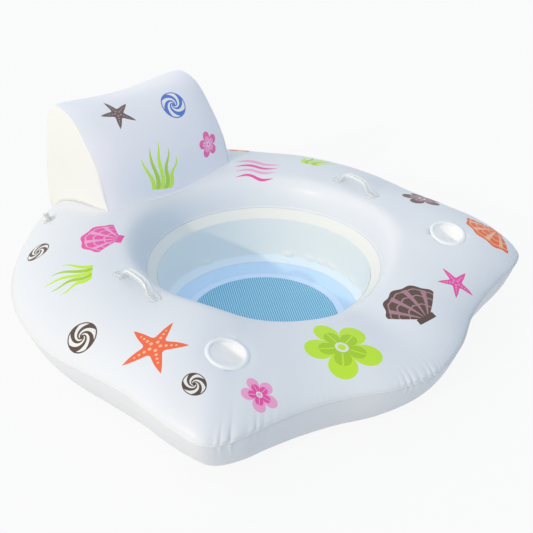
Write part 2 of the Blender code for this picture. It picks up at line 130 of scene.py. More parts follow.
def seam_height(angle):
    """Height of the outer weld, as a share of the crest's.

    A smooth step 8 degrees ahead of the sides raises it round the front, and a bell curve lowers it again at
    the horns, 38 degrees ahead.
    """
    degrees = latitude(angle)
    front = front_lift / (1 + np.exp((degrees + 8) / 6))
    horns = horn_drop * bell(degrees + 38, 8)
    return crest_height(angle) * (seam_share + front - horns)


def top_height(x, y):
    """Height of the top sheet: a raised quarter ellipse outside the crest, and a steep power curve inside.

    Slow waves a hand long loosen it by a millimetre. It dips round each cup, where the sleeve pulls it down.
    It sinks beside one end of the backrest and swells beside the other.
    """
    radius, angle = np.hypot(x, y), np.arctan2(y, x)
    outer, crest, seam, high = reach(angle), crest_radius(angle), seam_height(angle), crest_height(angle)
    share = np.clip((radius - crest) / (outer - crest), 0, 1)
    outside = seam + (high - seam) * (1 - share ** 2) ** outer_fullness
    inner = np.clip((crest - radius) / (crest - lap_radius), 0, 1)
    inside = high - (high - lap_height) * inner ** inner_roundness
    inside = inside - np.clip(lap_radius - radius, 0, None) * band_rise / band_width
    wave = np.sin(17 * x + 9 * y + 0.6) * np.sin(-8 * x + 19 * y + 1.9)
    wave = wave + 0.6 * np.sin(31 * x - 23 * y + 2.5)
    dip = sum(bell(np.hypot(x - a, y - b) - cup_radius, dip_width) for a, b in cup_places)
    along = np.clip(np.abs(y - end_y) - end_half, 0, None)
    sink = end_sink * bell(np.hypot(x + end_x, along), sink_width, 3)
    swell = end_swell * bell(np.hypot(x - end_x - swell_shift, along), swell_width)
    slack = (slack_height * wave - cup_dip * dip - sink + swell) * (1 - share ** 4) * (1 - inner ** 4)
    return np.where(radius > crest, outside, inside) + slack


def on_sheet(points, lift=0.0):
    """Points carried straight up or down to the top sheet, or to a height over it."""
    x, y = points[..., 0], points[..., 1]
    return np.stack((x, y, top_height(x, y) + lift), -1)


def round_grid(radius, angle, height=0):
    """Points at a distance and an angle from a middle, and at a height."""
    return np.stack(np.broadcast_arrays(radius * np.cos(angle), radius * np.sin(angle), height), -1)


def surface(name, points, wraps=(False, False), cells=None, uv=None, flip=False, poles=(False, False)):
    """A mesh through a grid of points. Its rows and columns may go round, and its end rows may be points."""
    rows, columns = points.shape[:2]
    i, j = np.indices((rows - 1 + wraps[0], columns - 1 + wraps[1]))
    number = np.arange(rows * columns).reshape(rows, columns)
    for row, pole in zip((0, -1), poles):
        number[row] = number[row, 0] if pole else number[row]
    quads = [number[a % rows, b % columns] for a, b in ((i, j), (i + 1, j), (i + 1, j + 1), (i, j + 1))]
    quads = np.stack(quads, -1)
    corners = np.stack(((i, j), (i + 1, j), (i + 1, j + 1), (i, j + 1)), 0).transpose(2, 3, 0, 1)
    kept = np.ones(quads.shape[:2], bool) if cells is None else cells
    order = slice(None, None, -1 if flip else 1)
    quads, corners = quads[kept][:, order], corners[kept][:, order]
    # A cell at a point has two corners in one place, and one of them is left out
    whole = quads != np.roll(quads, 1, 1)
    used, number = np.unique(quads[whole], return_inverse=True)
    faces = np.split(number, np.cumsum(whole.sum(1))[:-1])
    mesh = bpy.data.meshes.new(name)
    mesh.from_pydata(points.reshape(-1, 3)[used].tolist(), [], [face.tolist() for face in faces])
    if uv is not None:
        layer = mesh.uv_layers.new(name="print")
        layer.data.foreach_set("uv", uv[tuple(corners[whole].T)].astype(np.float32).ravel())
    mesh.shade_smooth()
    return mesh


def piece(name, mesh, look, node, body="chair", thickness=None):
    """Puts a mesh in the scene with its finish, and gives a sheet its thickness towards the air."""
    made = bpy.data.objects.new(name, mesh)
    bpy.context.scene.collection.objects.link(made)
    mesh.materials.append(look)
    if thickness:
        step = made.modifiers.new("thickness", "SOLIDIFY")
        step.thickness, step.offset = thickness, -1
    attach(made, body)
    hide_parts(node)
    return made


def seat_piece(name, points, look, slot, node, thickness=vinyl, **form):
    """A piece from a grid of points round the seat's middle, which is moved to its place in the frame."""
    mesh = surface(name, points + np.array((0, seat_y, 0)), **form)
    return piece(name, mesh, look, node, thickness=thickness)


def square_to(points):
    """Directions square to a grid that goes round the chair row by row."""
    square = np.cross(np.roll(points, -1, 0) - np.roll(points, 1, 0), np.gradient(points, axis=1))
    return square / np.maximum(np.linalg.norm(square, axis=-1, keepdims=True), 1e-9)


def turn_between(angle, other):
    """The shorter way round from one angle to another, from -pi to pi."""
    return (angle - other + math.pi) % (2 * math.pi) - math.pi


# Folds crowd together where the weld gathers, and the rows of the grid do so more
turns = start + np.linspace(0, 2 * math.pi, 7201)
away = np.degrees(turn_between(turns[:, None], np.radians(gathered[:, 0])))
near = bell(away, gathered[:, 1] + 1).max(1)
near[-1] = near[0]
passed = np.concatenate(((0,), np.cumsum(1 + 2.4 * near[1:])))
ring_angles = np.interp(np.linspace(0, passed[-1], 1000, endpoint=False), passed, turns)
passed = np.concatenate(((0,), np.cumsum(1 + 0.7 * near[1:])))
fold_count = 150
fold_places = np.linspace(0, passed[-1], fold_count + 1)
fold_places[1:-1] += draws.uniform(-0.32, 0.32, fold_count - 1) * passed[-1] / fold_count
outer_folds = np.interp(fold_places, passed, turns)
away = np.degrees(turn_between(outer_folds[:, None], np.radians(gathered[:, 0])))
outer_depth = 0.0001 + 0.0008 * draws.uniform(0, 1, fold_count + 1) ** 3
deep = (gathered[:, 2] * bell(away, gathered[:, 1])).sum(1)
outer_depth += deep * draws.uniform(0.3, 1.2, fold_count + 1)
outer_length = draws.uniform(0.006, 0.012, fold_count + 1) + 1.1 * outer_depth
weld_hold = 0.003
lip_count = 75
lip_folds = start + np.linspace(0, 2 * math.pi, lip_count)
lip_folds[1:-1] += draws.uniform(-0.03, 0.03, lip_count - 2)
lip_depth = draws.uniform(0.0001, 0.0005, lip_count)
for values in (outer_depth, outer_length, lip_depth):
    values[-1] = values[0]


def gathers(angle, folds, depth):
    """Puckers beside a weld: the size of a sine to a power, less its mean, so sharp in each fold."""
    phase = np.interp(angle, folds, np.arange(len(folds)))
    return (np.abs(np.sin(math.pi * phase)) ** 0.7 - 0.62) * np.interp(angle, folds, depth)


def fade(distance, length, hold):
    """Dies away with the distance from a weld, and is held still close to it."""
    return np.exp(-distance / length) * (1 - np.exp(-distance / hold))


def weld_folds(angle, distance, reach_share=1.0):
    """How far the outer weld's folds push a sheet out and lift it, at a distance from the weld."""
    size = gathers(angle, outer_folds, outer_depth)
    length = reach_share * np.interp(angle, outer_folds, outer_length)
    return size * fade(distance, length, weld_hold), 0.6 * size * np.exp(-distance / (2 * weld_hold))


def ring_top():
    """The top sheet's grid, row by row round the chair, each from the weld over the crest to the lip.

    The folds push it in and out along its normal, most at the welds, dying away with the distance from them.
    """
    angle = ring_angles[:, None]
    outer, crest = reach(angle), crest_radius(angle)
    turn = math.pi / 2 * np.linspace(0, 1, 26)[None, :] ** 1.35
    outside = crest + (outer - crest) * np.cos(turn)
    inside = crest + (lap_radius - crest) * np.sin(math.pi / 2 * np.linspace(0, 1, 22)[None, 1:])
    strip = lap_radius + (lip_radius - lap_radius) * np.array(((0.3, 1.0),)) + 0 * crest
    radius = np.concatenate((outer + flange, outside, inside, strip), 1)
    points = on_sheet(round_grid(radius, angle))
    points[:, 0, 2] -= flange_drop
    steps = np.linalg.norm(np.diff(points[:, 1:], axis=1), axis=-1)
    from_weld = np.concatenate((np.zeros((len(steps), 2)), np.cumsum(steps, 1)), 1)
    from_lip = from_weld[:, -1:] - from_weld
    push, lift = weld_folds(angle, from_weld)
    push = push + gathers(angle, lip_folds, lip_depth) * fade(from_lip, 0.02, 0.004)
    points = points + push[..., None] * square_to(points)
    points[..., 2] += lift
    keep = np.ones((len(points), points.shape[1] - 1), bool)
    cup_hole = cup_radius + 0.001
    for place, hole in zip((*cup_places, valve_place), (cup_hole, cup_hole, valve_hole)):
        offset = points[..., :2] - place
        distance = np.linalg.norm(offset, axis=-1, keepdims=True)
        within = distance < hole
        gone = (within & np.roll(within, -1, 0))[..., 0]
        keep &= ~(gone[:, :-1] & gone[:, 1:])
        grown = place + offset / np.maximum(distance, 1e-9) * hole
        points[..., :2] = np.where(within, grown, points[..., :2])
        points = np.where(within, on_sheet(points), points)
    across = np.broadcast_to((angle - start) * print_radius, from_lip.shape)
    uv = np.stack((across, np.where(np.arange(from_lip.shape[1]) < 1, flange_mark, from_lip)), -1)
    uv = np.concatenate((uv, uv[:1] + np.array((2 * math.pi * print_radius, 0))), 0)
    return points, keep, uv, radius


def feed(tree, entry, value):
    """Writes a number or a colour into an input, or links another node's output to it."""
    value = getattr(value, "socket", value)
    if isinstance(value, bpy.types.NodeSocket):
        tree.links.new(value, entry)
    else:
        entry.default_value = value


def add(tree, kind, inputs=(), **settings):
    """Adds a node of a kind with its settings, and feeds the inputs that are named."""
    node = tree.nodes.new("ShaderNode" + kind)
    for word, value in settings.items():
        setattr(node, word, value)
    for word, value in dict(inputs).items():
        feed(tree, node.inputs[word], value)
    return node


def new_look(name, inputs):
    """A new finish: the material, its nodes, and its shader with the inputs that are named."""
    look = bpy.data.materials.new(name)
    look.use_nodes = True
    shader = look.node_tree.nodes["Principled BSDF"]
    for word, value in inputs.items():
        feed(look.node_tree, shader.inputs[word], value)
    return look, look.node_tree, shader


def vinyl_look(name, colour, second, roughness, painted_glow=0.0):
    """Milky vinyl: two near colours mixed by slow noise, a fine grain in the gloss, and slack in the bump.

    Its emission is painted light in the sheet's own colour, standing in for the light that comes through a
    single sheet from the air space behind it.
    """
    look, tree, shader = new_look(name, {
        "Roughness": roughness, "IOR": 1.47, "Coat Weight": 0.06, "Coat Roughness": 0.2,
        "Emission Color": (*colour, 1), "Emission Strength": painted_glow,
    })
    place = add(tree, "TexCoord").outputs["Object"]
    cloud, grain, slack = (
        add(tree, "TexNoise", {"Scale": scale, "Detail": detail, "Vector": place}).outputs["Fac"]
        for scale, detail in ((7.0, 2.0), (900.0, 3.0), (24.0, 1.0))
    )
    blend = add(tree, "Mix", {"Factor": cloud, "A": (*colour, 1), "B": (*second, 1)}, data_type="RGBA")
    fine = add(tree, "Bump", {"Strength": 0.04, "Distance": 0.0002, "Height": grain}).outputs["Normal"]
    soft = add(tree, "Bump", {"Strength": 0.25, "Distance": 0.001, "Height": slack, "Normal": fine})
    feed(tree, shader.inputs["Base Color"], blend.outputs["Result"])
    feed(tree, shader.inputs["Normal"], soft.outputs["Normal"])
    return look


# Print. Flat inks on the outside of the sheet: simple beach shapes in lime, pinks, coral and brown. Each is
# drawn in its own square, from -1 to 1, by distances and angles from its middle.
lime, lime_dark = (0.60, 0.90, 0.04), (0.44, 0.70, 0.02)
hot_pink, pink = (0.92, 0.09, 0.42), (0.97, 0.42, 0.70)
coral, coral_pale = (0.96, 0.15, 0.05), (0.98, 0.55, 0.34)
brown, mauve = (0.095, 0.052, 0.040), (0.42, 0.22, 0.27)
blue, paper = (0.03, 0.14, 0.62), (0.88, 0.88, 0.86)


def worked_out(kind, turned_round=False):
    """A method that adds the node for one kind of sum, of a value and of others."""
    def method(self, *others):
        node = add(self.tree, "Math", operation=kind)
        for entry, value in zip(node.inputs, (*others, self) if turned_round else (self, *others)):
            feed(self.tree, entry, value)
        return Value(self.tree, node.outputs[0])
    return method


class Value:
    """A number that a material's nodes work out. It is added, multiplied and compared like any other."""

    def __init__(self, tree, socket):
        self.tree, self.socket = tree, socket

    __add__ = __radd__ = worked_out("ADD")
    __sub__, __rsub__ = worked_out("SUBTRACT"), worked_out("SUBTRACT", turned_round=True)
    __truediv__, __pow__ = worked_out("DIVIDE"), worked_out("POWER")
    __lt__, __gt__ = worked_out("LESS_THAN"), worked_out("GREATER_THAN")
    # A comparison gives 1 or 0, and & gives 1 where both are 1
    __mul__ = __rmul__ = __and__ = worked_out("MULTIPLY")
    __abs__, sine, cosine = worked_out("ABSOLUTE"), worked_out("SINE"), worked_out("COSINE")
    root, fraction, turn_from = worked_out("SQRT"), worked_out("FRACT"), worked_out("ARCTAN2")
    larger, smaller, log = worked_out("MAXIMUM"), worked_out("MINIMUM"), worked_out("LOGARITHM")

    def __invert__(self):
        return 1.0 - self


def polar(x, y):
    """Distance from the middle, and angle from up."""
    return (x * x + y * y).root(), x.turn_from(y)


class Ink:
    """Prints flat shapes on a finish, by the sheet's own measures across and up in metres."""

    def __init__(self, look):
        self.tree = look.node_tree
        where = add(self.tree, "UVMap", uv_map="print").outputs["UV"]
        split = add(self.tree, "SeparateXYZ", {"Vector": where}).outputs
        self.across, self.up = Value(self.tree, split["X"]), Value(self.tree, split["Y"])
        self.target = self.tree.nodes["Principled BSDF"].inputs["Base Color"]
        self.colour = self.target.links[0].from_socket

    def square(self, place, size, turn, stretch=1.0):
        """The shape's own square: the place is taken off, then it is turned and scaled."""
        a, b = (self.across - place[0]) * stretch, self.up - place[1]
        c, s = math.cos(turn) / size, math.sin(turn) / size
        return a * c + b * s, b * c - a * s

    def lay(self, where, colour):
        """Lays an ink over what is there already."""
        inks = {"Factor": where, "A": self.colour, "B": (*colour, 1)}
        self.colour = add(self.tree, "Mix", inks, data_type="RGBA").outputs["Result"]
        feed(self.tree, self.target, self.colour)

    def blossom(self, x, y, main, second):
        """Five petals, whose edge swells with the size of a cosine, each with a vein, round a pale middle."""
        far, angle = polar(x, y)
        edge = 0.40 + 0.56 * abs((angle * 2.5).cosine()) ** 0.55
        vein = (abs((angle * 2.5).sine()) * far < 0.05) & (far < 0.72)
        self.lay(far < edge, main)
        self.lay(far < edge * 0.62, second)
        self.lay(vein & ~(far < 0.2), main)
        self.lay(far < 0.17, paper)
        self.lay(far < 0.10, main)

    def starfish(self, x, y, main, second):
        """Five arms, whose edge follows a power of how near the angle is to an arm, with rows of dots."""
        far, angle = polar(x, y)
        off = (angle * (5 / (2 * math.pi)) + 10.5).fraction() - 0.5
        near = 1.0 - abs(off) * 2.0
        self.lay(far < 0.34 + 0.64 * near ** 2.4, main)
        side = off * (2 * math.pi / 5) * far
        for k, centre in enumerate((0.16, 0.32, 0.47, 0.61)):
            along = far - centre
            self.lay(along * along + side * side < (0.052 - 0.007 * k) ** 2, second)

    def scallop(self, x, y, main, second):
        """A fan from its hinge: a cosine scallops its rim, with ribs, growth bands, and two small ears."""
        low = y + 0.78
        far, angle = polar(x, low)
        rib = (angle * 13.0).cosine()
        edge = 1.62 - angle * angle * 0.34 + rib * 0.045
        fan = (far < edge) & (abs(angle) < 1.02)
        grown = far / edge
        self.lay(fan, main)
        self.lay(fan & (rib < -0.55) & (grown < 0.93), second)
        for level in (0.42, 0.68, 0.88):
            self.lay(fan & (abs(grown - level) < 0.018), second)
        self.lay((abs(x) < 0.34) & (abs(low - 0.06) < 0.11), main)

    def snail(self, x, y, main, second):
        """A round shell: stripes turn with the logarithm of the distance, inside a dark rim."""
        far, angle = polar(x, y)
        stripe = ((angle + (far + 0.02).log(math.e) * 1.9) * 4.0).sine()
        self.lay(far < 0.92, second)
        self.lay((far < 0.86) & (stripe < 0.05), main)
        self.lay((far < 0.92) & ~(far < 0.84), main)
        self.lay(far < 0.13, main)

    def ripples(self, x, y, main, second):
        """Four short waves over each other: a sine lifts each one, and it thins towards its ends."""
        lift, taper = (x * 4.4).sine() * 0.09, 1.0 - x * x
        for k, level in enumerate((-0.66, -0.22, 0.22, 0.66)):
            off = abs(y - lift - level)
            self.lay((off < taper * (0.13 - 0.015 * k)) & (abs(x) < 1.0), (main, second)[k % 2])

    def grass(self, x, y, main, second):
        """Sea grass: five blades from one foot, each bent by a sine and thinning to its tip."""
        feet, leans = (-0.34, -0.17, 0.0, 0.18, 0.34), (-0.42, -0.20, 0.04, 0.24, 0.45)
        for k, (foot, lean, tall) in enumerate(zip(feet, leans, (1.25, 1.62, 1.88, 1.55, 1.2))):
            up = (y + 0.95) / tall
            off = abs(x - (up * lean + foot + (up * (6.0 + k)).sine() * 0.06))
            blade = (off < (1.0 - up * up) * 0.10) & (up > 0.0)
            self.lay(blade & (up < 1.0), (main, second)[k % 2])


# Shape, degrees round the ring, distance from the seat's middle, half size, turn in degrees, and two inks
ring_prints = (
    ("blossom", 250, 0.405, 0.082, 20, lime, lime_dark),
    ("starfish", 200, 0.465, 0.072, 35, coral, coral_pale),
    ("scallop", 283, 0.385, 0.066, -160, brown, mauve),
    ("blossom", 345, 0.450, 0.055, 5, brown, mauve),
    ("grass", 158, 0.460, 0.062, 15, lime, lime_dark),
    ("snail", 180, 0.500, 0.038, 0, brown, paper),
    ("snail", 213, 0.525, 0.026, 60, brown, paper),
    ("ripples", 50, 0.345, 0.056, 190, pink, hot_pink),
    ("scallop", 140, 0.380, 0.058, 10, hot_pink, pink),
    ("starfish", 301, 0.450, 0.048, 10, hot_pink, pink),
    ("grass", 28, 0.470, 0.062, 10, lime, lime_dark),
    ("scallop", 325, 0.545, 0.056, 150, coral, coral_pale),
    ("blossom", 226, 0.510, 0.036, 0, pink, hot_pink),
    ("snail", 140, 0.520, 0.032, 30, brown, paper),
    ("blossom", 55, 0.500, 0.042, 0, coral, coral_pale),
)
milky = ((0.85, 0.885, 0.925), (0.85, 0.855, 0.925))
white_vinyl = vinyl_look("white_vinyl", *milky, 0.42)
printed_vinyl = vinyl_look("printed_vinyl", *milky, 0.42)
ink = Ink(printed_vinyl)
# The weld's flange is laid a lighter white: a painted highlight for the bright line along the outer seam.
ink.lay(ink.up > flange_mark / 2, (0.93, 0.945, 0.96))
points, keep, uv, radius = ring_top()
for shape, degrees, far, size, turned_by, *inks in ring_prints:
    row = np.argmin(np.abs(turn_between(ring_angles, math.radians(degrees))))
    column = 2 + np.argmin(np.abs(radius[row, 2:] - far))
    middle = tuple(map(float, uv[row, column]))
    x, y = ink.square(middle, size, math.radians(turned_by), far / print_radius)
    getattr(ink, shape)(x, y, *inks)
seat_piece(
    "ring_top_sheet", points, printed_vinyl, "white_vinyl", "ring_top_panel",
    wraps=(True, False), cells=keep, uv=uv, flip=True,
)


# Ring, bottom sheet. The same vinyl, unprinted. It lies on the ground in a flat strip and comes up to the
# outer weld, where the same folds run on through both sheets. Its inner edge is welded under the seat floor.
foot_width = 0.04
inner_height, under_roundness = 0.0345, 2.2
floor_weld, under_weld_height = 0.019, 0.0203


def ring_bottom():
    """The bottom sheet's grid, each row from the seat floor along the ground and up a quarter round."""
    angle = ring_angles[:, None]
    outer, seam = reach(angle), seam_height(angle) - 0.0006
    middle = (outer + well_radius) / 2
    along = np.linspace(0, 1, 8)[None, :-1]
    inner = well_radius + 0.006
    under = inner + (middle - foot_width / 2 - inner) * along
    under_height = inner_height * (1 - along) ** under_roundness + 0 * seam
    turn = math.pi / 2 * (1 - np.linspace(1, 0, 19)[None, :] ** 1.35)
    foot_outer = middle + foot_width / 2
    side = foot_outer + (outer - foot_outer) * np.sin(turn)
    side_height = seam * (1 - np.cos(turn) ** (2 * outer_fullness))
    edge = np.ones_like(seam)
    radius = np.concatenate(
        (edge * (well_radius - floor_weld), under, middle - foot_width / 2, side, outer + flange), 1,
    )
    height = np.concatenate(
        (edge * under_weld_height, under_height, edge * 0, side_height, seam - flange_drop), 1,
    )
    points = round_grid(radius, angle, height)
    steps = np.linalg.norm(np.diff(points[:, :-1], axis=1), axis=-1)
    to_weld = np.concatenate((np.cumsum(steps[:, ::-1], 1)[:, ::-1], np.zeros((len(steps), 2))), 1)
    push, lift = weld_folds(angle, to_weld, 0.9)
    push = push * np.clip(points[..., 2] / 0.02, 0, 1)
    points = points - push[..., None] * square_to(points)
    points[..., 2] = np.maximum(points[..., 2] + lift, 0)
    return points


seat_piece(
    "ring_bottom_sheet", ring_bottom(), white_vinyl, "white_vinyl", "ring_bottom_panel",
    wraps=(True, False),
)


# Seat well. A slanting band of plain cream vinyl hangs from the ring's lip, and an upright wall goes down
# from it. The wall's foot is turned in and welded to a sloping floor of blue-tinted vinyl. Where it is eased
# into that weld the wall has a few small swellings.
floor_rim_height = 0.033
mesh_weld_radius, mesh_weld_height = 0.205, 0.0045
mesh_radius = 0.183
floor_slope = (floor_rim_height - mesh_weld_height) / (well_radius - mesh_weld_radius)
dent_depth = 0.0045
well_dents = np.array((0.04, 0.18, 0.32, 0.56, 1.45, 2.2, 2.9, 3.6, 4.4, 5.2, 5.98))


def once_round(count):
    """A column of even angles once round."""
    return np.linspace(0, 2 * math.pi, count, endpoint=False)[:, None]


well_angles = once_round(360)


def turned(profile, angles=well_angles):
    """A profile of radius and height carried round the seat's middle, or another one."""
    radius, height = np.array(profile, float).T
    return round_grid(radius, angles, height)


def points_at(places, line, measure=None):
    """Points of a line at given places, which are counted in its own points or in another measure of them."""
    measure = np.arange(len(line)) if measure is None else measure
    return np.stack([np.interp(places, measure, values) for values in np.transpose(line)], -1)


def eased(profile, steps=6):
    """A profile with points added evenly between its corners, for a sheet that bends along its length."""
    return points_at(np.linspace(0, len(profile) - 1, (len(profile) - 1) * steps + 1), profile)


def dented(points):
    """Small swellings near the foot of the round wall: a bell curve round it, and another up it."""
    angles = np.arctan2(points[..., 1], points[..., 0])
    away = turn_between(angles[..., None], well_dents)
    up = bell(points[..., 2] - floor_rim_height - 0.009, 0.008)
    dent = -bell(away, 0.05, 4).sum(-1) * up * dent_depth
    far = np.linalg.norm(points[..., :2], axis=-1)
    moved = points.copy()
    moved[..., :2] *= (1 + dent / far)[..., None]
    return moved


# Each look's glow here is painted light, which brightens the well's sheets where they lie in shade.
cream_vinyl = vinyl_look("cream_vinyl", (0.90, 0.90, 0.875), (0.875, 0.88, 0.865), 0.42, painted_glow=0.02)
wall_vinyl = vinyl_look("wall_vinyl", (0.87, 0.89, 0.875), (0.85, 0.875, 0.87), 0.42, painted_glow=0.05)
# The foot's pale blue is partly the see-through turned-in sheet over the blue floor, and partly painted shade
# of the cool light in the well.
foot_tint_and_shade = vinyl_look("foot_tint_and_shade", (0.76, 0.86, 0.95), (0.71, 0.83, 0.94), 0.34, painted_glow=0.10)
tinted_vinyl = vinyl_look("tinted_vinyl", (0.56, 0.75, 0.96), (0.50, 0.70, 0.94), 0.30, painted_glow=0.12)
band_top = band_height + band_rise
band = turned(eased((
    (lap_radius - 0.0006, band_top + 0.0034), (lip_radius - 0.002, band_top - 0.0014),
    (well_radius + 0.0016, band_height + 0.0009), (well_radius + 0.0008, band_height),
    (well_radius + 0.0007, band_height - 0.006),
)))
wall = eased(((well_radius, band_height + 0.0008), (well_radius, floor_rim_height + 0.0004)), 36)
foot = turned(eased((
    (well_radius - 0.0003, floor_rim_height + 0.004), (well_radius - 0.0012, floor_rim_height + 0.0012),
    (well_radius - 0.004, floor_rim_height + 0.0009 - 0.004 * floor_slope),
    (well_radius - floor_weld, floor_rim_height + 0.0008 - floor_weld * floor_slope),
)))
cone = turned(eased((
    (well_radius, floor_rim_height), (mesh_weld_radius + 0.004, mesh_weld_height + 0.004 * floor_slope),
    (mesh_weld_radius - 0.002, mesh_weld_height), (mesh_radius, mesh_weld_height),
)))
for name, points, look, slot, node in (
    ("lip_band", band, cream_vinyl, "cream_vinyl", "seat_lip_band"),
    ("well_wall", dented(turned(wall)), wall_vinyl, "cream_vinyl", "seat_well_wall"),
    ("well_foot", foot, foot_tint_and_shade, "cream_vinyl", "seat_well_foot"),
    ("seat_floor_sheet", cone, tinted_vinyl, "blue_vinyl", "seat_floor_ring"),
):
    seat_piece(name, points, look, slot, node, wraps=(True, False), flip=True)


# Weld ring. The mesh is caught between the floor and this ring of lavender vinyl, pressed by a die that
# leaves four round ridges in it.
weld_ring_width = mesh_weld_radius - 0.003 - mesh_radius
weld_ring_top, weld_ring_foot = 0.0060, 0.0056
ridge_count, ridge_height = 4, 0.0004


def weld_ring():
    """A flat ring whose top is lifted by the size of a sine across its width."""
    across = np.linspace(0, 1, 33)
    top = weld_ring_top + ridge_height * np.abs(np.sin(ridge_count * math.pi * across))
    top = np.stack((mesh_radius + weld_ring_width * across, top), -1)
    foot = (mesh_radius + weld_ring_width, weld_ring_foot), (mesh_radius, weld_ring_foot)
    return turned(np.concatenate((top, foot)))


# Its glow is painted light, which brightens the weld ring low in the shaded well.
lavender_vinyl = vinyl_look("lavender_vinyl", (0.62, 0.76, 0.97), (0.57, 0.72, 0.96), 0.34, painted_glow=0.16)
seat_piece(
    "mesh_weld", weld_ring(), lavender_vinyl, "lavender_vinyl", "mesh_weld_ring",
    thickness=None, wraps=(True, True), flip=True,
)


# Drain mesh. Blue polyester net, one disc, stretched flat and gripped by the weld ring. Its weave reads as
# fine slanting rows, darker in the gaps, and it keeps a slight sheen.
def net_look():
    """Two trains of waves across each other, one coarse and one fine, colour the net and lift it."""
    look, tree, shader = new_look("blue_net", {"Roughness": 0.5, "Sheen Weight": 0.1})
    place = add(tree, "TexCoord").outputs["Object"]
    rows = []
    for turned_by, pitch, least in ((32, 0.0055, 0.0), (-47, 0.0044, 0.45)):
        turn = (0, 0, math.radians(turned_by))
        aim = add(tree, "Mapping", {"Rotation": turn, "Vector": place}).outputs["Vector"]
        wave = add(tree, "TexWave", {"Scale": math.pi / 10 / pitch, "Vector": aim}).outputs["Fac"]
        lift = add(tree, "MapRange", {"To Min": least, "Value": wave}).outputs["Result"]
        rows.append(Value(tree, lift))
    weave = rows[0] * rows[1]
    ramp = add(tree, "ValToRGB", {"Fac": weave})
    colours = ((0.05, (0.12, 0.39, 0.70, 1)), (0.60, (0.42, 0.80, 0.96, 1)))
    for step, (position, colour) in zip(ramp.color_ramp.elements, colours):
        step.position, step.color = position, colour
    bump = add(tree, "Bump", {"Strength": 0.4, "Distance": 0.0005, "Height": weave})
    feed(tree, shader.inputs["Base Color"], ramp.outputs["Color"])
    feed(tree, shader.inputs["Normal"], bump.outputs["Normal"])
    return look


def disc(radius, height, rings=24, angles=well_angles, dome=0.0):
    """A round sheet ring by ring to its middle, lifted there by a parabola."""
    share = np.linspace(1, 0, rings)
    points = turned(np.stack((radius * share, height + dome * (1 - share ** 2)), -1), angles)
    return points.transpose(1, 0, 2)


net_radius, net_height, net_thickness = 0.202, 0.0054, 0.0006
drain = seat_piece(
    "drain_mesh", disc(net_radius, net_height), net_look(), "blue_mesh", "seat_mesh",
    thickness=net_thickness, wraps=(False, True), poles=(False, True), flip=True,
)


# Backrest. One long strip of printed vinyl makes its front, crown and back, and a plain gusset closes each
# end. The welds stand out as narrow fins, and the strip's feet are welded flat on the ring.
backrest_width = 0.39
backrest_front, backrest_depth, backrest_rise = 0.3435, 0.285, 0.221
backrest_crown, backrest_roll, gusset_bulge = 0.022, 0.5, 0.017
right_end_drawn_in = 0.0045
fin = 0.0016
# Side view from the front foot over the crown to the back foot: shares of the depth, the rise and the swell
profile_shares = np.array((
    (-0.020, -0.40, 0.0), (-0.012, -0.12, 0.2), (0.000, 0.056, 0.3), (0.088, 0.414, 0.6),
    (0.256, 0.716, 0.6), (0.435, 0.938, -0.1), (0.640, 1.003, -0.9), (0.776, 0.935, -0.8),
    (0.872, 0.700, -0.1), (0.928, 0.385, 0.8), (0.980, -0.050, 1.1), (1.000, -0.380, 1.2),
    (0.930, -0.620, 1.0),
))


def smooth_through(knots, count):
    """A smooth cubic through rows of numbers, at a count of even places from the first row to the last."""
    last = len(knots) - 1
    places = np.linspace(0, last, count)
    k = np.clip(places.astype(int), 0, last - 1)
    t = (places - k)[:, None]
    before, low, high, after = (knots[np.clip(k + step, 0, last)] for step in (-1, 0, 1, 2))
    return cubic(t, low, high, (high - before) / 2, (after - low) / 2)


def wrap_point(share, rows):
    """The strip at a share of its half width: the side view, pushed out by its swell and by a roll."""
    depth, rise, swell = rows.T
    run, climb = np.gradient(backrest_depth * depth), np.gradient(backrest_rise * rise)
    length = np.hypot(run, climb)
    out = backrest_crown * (swell * (1 - share ** 2) + backrest_roll * (0.9 - share ** 6))
    y = backrest_front + backrest_depth * depth - out * climb / length
    z = ring_height + backrest_rise * rise + out * run / length
    x = share * backrest_width / 2 - right_end_drawn_in * np.clip(share, 0, None)
    return np.stack((x + 0 * y, y, z), -1)


def trimmed(line, count):
    """The part of a line that stands clear of the ring, at equal steps along it."""
    clear = (line - on_sheet(line, 0.0004))[:, 2]
    first, last = np.flatnonzero(clear > 0)[[0, -1]]
    lower = first - clear[first] / (clear[first] - clear[first - 1])
    upper = last + clear[last] / (clear[last] - clear[last + 1])
    fine = points_at(np.linspace(lower, upper, 600), line)
    passed = np.concatenate(((0,), np.cumsum(np.linalg.norm(np.diff(fine, axis=0), axis=1))))
    return points_at(np.linspace(0, passed[-1], count), fine, passed), passed[-1]


seam_folds = np.cumsum(draws.uniform(0.6, 1.4, 48))
seam_depth = draws.uniform(0.0001, 0.0007, 48)


